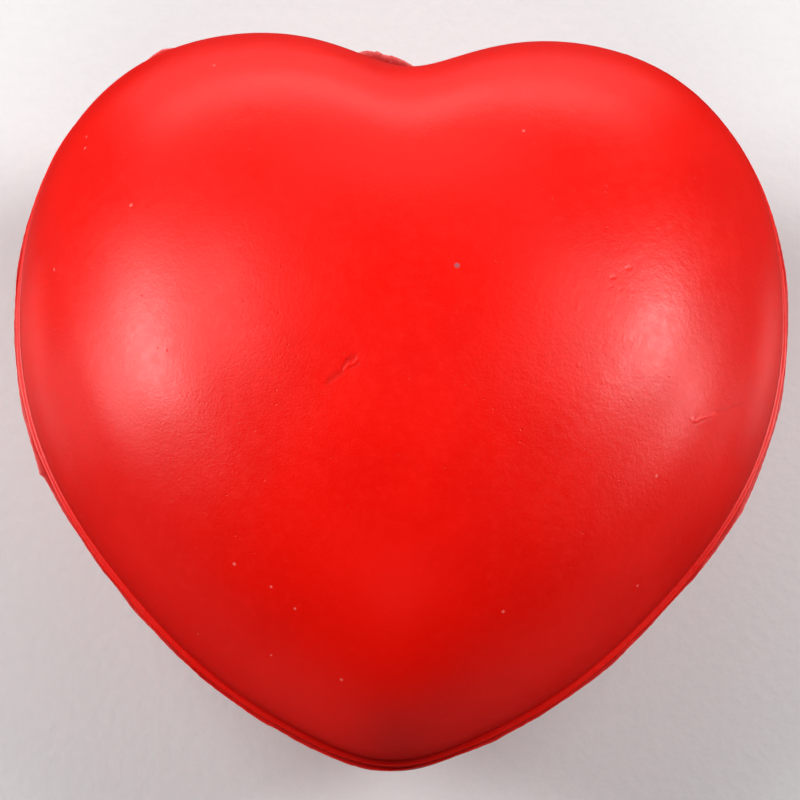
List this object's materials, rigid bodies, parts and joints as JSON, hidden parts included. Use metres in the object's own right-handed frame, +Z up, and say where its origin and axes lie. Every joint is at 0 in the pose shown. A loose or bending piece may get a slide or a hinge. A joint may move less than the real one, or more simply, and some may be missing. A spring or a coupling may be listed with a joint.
{
  "type": "heart-shaped foam stress ball",
  "caption": "Heart-shaped squeeze toy of self-skinned foam, domed on both faces, with a thin moulding flash round its parting line.",
  "frame": {"origin": "middle of the bounding box in plan, at the height of the small flat that the rear crown rests on", "axes": "+Z up through the thickness from the rear crown to the front crown, +Y from the tip towards the lobes, +X across the heart to the right lobe as seen from the front"},
  "size_m": [0.0708, 0.0695, 0.0437],
  "materials": {
    "skin": "satin",
    "foam": "matte",
    "flash": "satin"
  },
  "bodies": {
    "rear_half": {"rear_skin": "skin"},
    "middle": {"foam_core": "foam", "parting_flash": "flash", "cleft_tab": "flash"},
    "front_half": {"front_skin": "skin"}
  },
  "joints": [
    {"name": "squeeze", "type": "slide", "parent": "rear_half", "child": "front_half", "axis": [0, 0, -1], "range_m": [0, 0.02], "stiffness_N_per_m": 2000, "deforming": ["front_skin", "rear_skin", "foam_core"]},
    {"name": "middle_follow", "type": "slide", "parent": "rear_half", "child": "middle", "axis": [0, 0, -1], "range_m": [0, 0.0101], "stiffness_N_per_m": 8000}
  ],
  "couplings": [
    {"joint": "middle_follow", "follows": "squeeze", "ratio": 0.4983}
  ]
}
